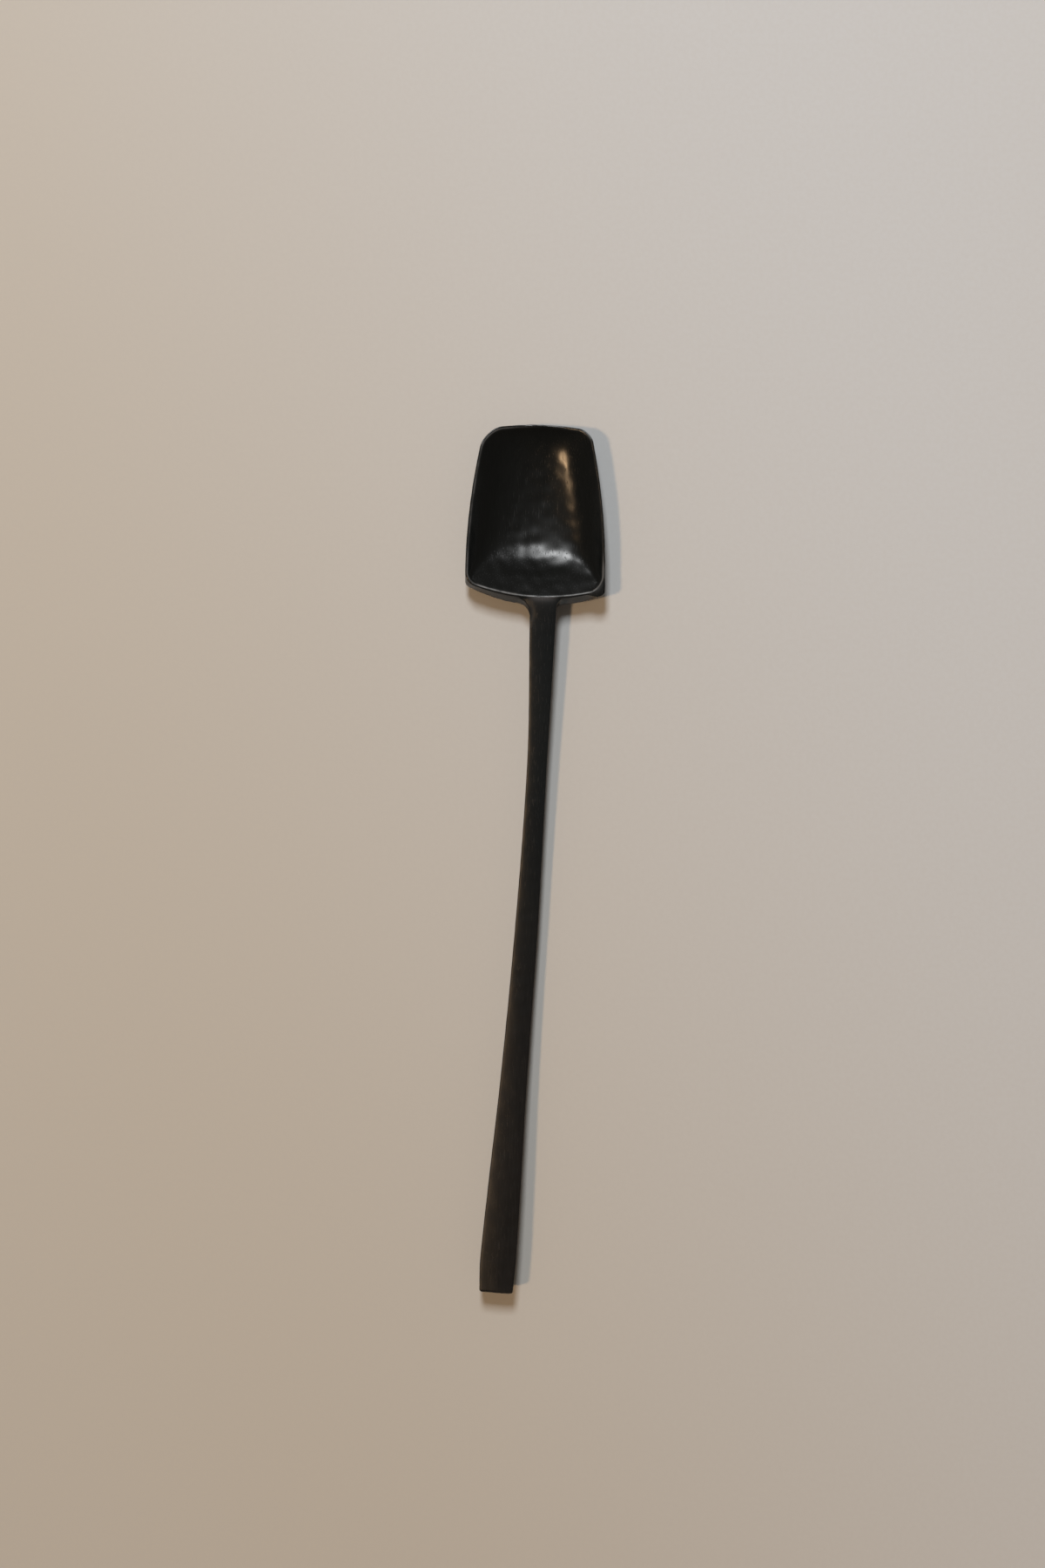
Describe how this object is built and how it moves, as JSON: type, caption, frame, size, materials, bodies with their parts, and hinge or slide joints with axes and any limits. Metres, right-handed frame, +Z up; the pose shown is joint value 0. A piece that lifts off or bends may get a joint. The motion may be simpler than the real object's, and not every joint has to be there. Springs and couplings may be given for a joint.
{
  "type": "wooden spoon",
  "caption": "Slim black-finished carved wooden spoon: a shallow square-tipped bowl on a long waisted handle, for scooping, stirring and serving.",
  "frame": {"origin": "middle of the spoon's footprint, on the table that it lies on", "axes": "+Y along the spoon from the butt of the handle to the tip of the bowl, +Z up out of the open bowl, +X to the right seen from above"},
  "size_m": [0.0324, 0.2004, 0.0076],
  "materials": {
    "bowl_wood": "black-stained hardwood, oiled to a satin sheen",
    "handle_wood": "black-stained hardwood, satin, worn browner along its edges"
  },
  "bodies": {
    "root": {"bowl": "bowl_wood", "handle": "handle_wood"}
  },
  "joints": []
}
